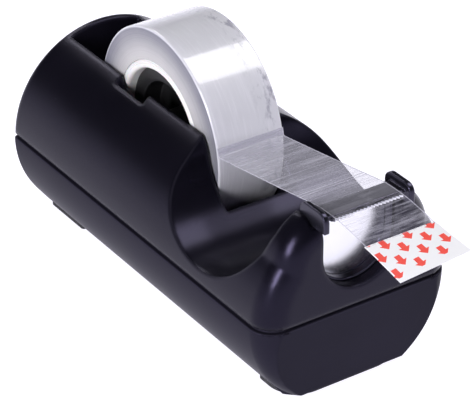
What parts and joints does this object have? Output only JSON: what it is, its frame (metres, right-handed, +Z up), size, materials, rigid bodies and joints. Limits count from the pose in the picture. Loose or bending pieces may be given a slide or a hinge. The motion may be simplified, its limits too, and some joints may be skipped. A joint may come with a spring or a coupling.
{
  "type": "tape dispenser",
  "caption": "Weighted desktop tape dispenser with a barrel-shaped body, a tape roll on a lift-out hub, a serrated cutter over a finger throat and an arrowed pull tab.",
  "frame": {"origin": "on the table at the middle of the whole footprint, the free end of the tape included", "axes": "-Y towards the cutter and the free end of the tape, +Y towards the roll's end, +X across the body, +Z up from the table"},
  "size_m": [0.054, 0.1404, 0.0662],
  "materials": {
    "shell": "satin moulded ABS, near-black with a faint violet cast",
    "base": "satin moulded ABS, near-black",
    "weight": "rough cast, dull grey",
    "screw_steel": "zinc-plated steel",
    "foot_rubber": "matt black rubber",
    "holder": "gloss black moulded plastic",
    "blade_steel": "bright rolled steel with a serrated edge",
    "clear_tape": "clear film with a faint violet cast and fine cross streaks",
    "tab_film": "white film with solid red arrows",
    "axle_steel": "ground steel",
    "hub": "matt black moulded plastic",
    "core": "off-white moulded plastic",
    "wound_tape": "milky translucent winding with fine rings on its sides"
  },
  "bodies": {
    "body": {"upper_shell": "shell", "base_tub": "base", "ballast_block": "weight", "ballast_screws": "screw_steel", "shell_screws": "screw_steel", "front_foot_pad": "foot_rubber", "rear_foot_pad": "foot_rubber", "cutter_holder": "holder", "cutter_blade": "blade_steel", "tape_strip": "clear_tape", "pull_tab": "tab_film"},
    "axle": {"hub_axle": "axle_steel"},
    "roll": {"hub_left": "hub", "hub_right": "hub", "tape_core": "core", "tape_winding": "wound_tape"}
  },
  "joints": [
    {"name": "axle_lift", "type": "slide", "parent": "body", "child": "axle", "axis": [0, 0.5446, 0.8387], "range_m": [0, 0.047]},
    {"name": "roll_spin", "type": "hinge", "parent": "axle", "child": "roll", "pos_m": [0, 0.02765, 0.0397], "axis": [1, 0, 0], "continuous": true}
  ]
}
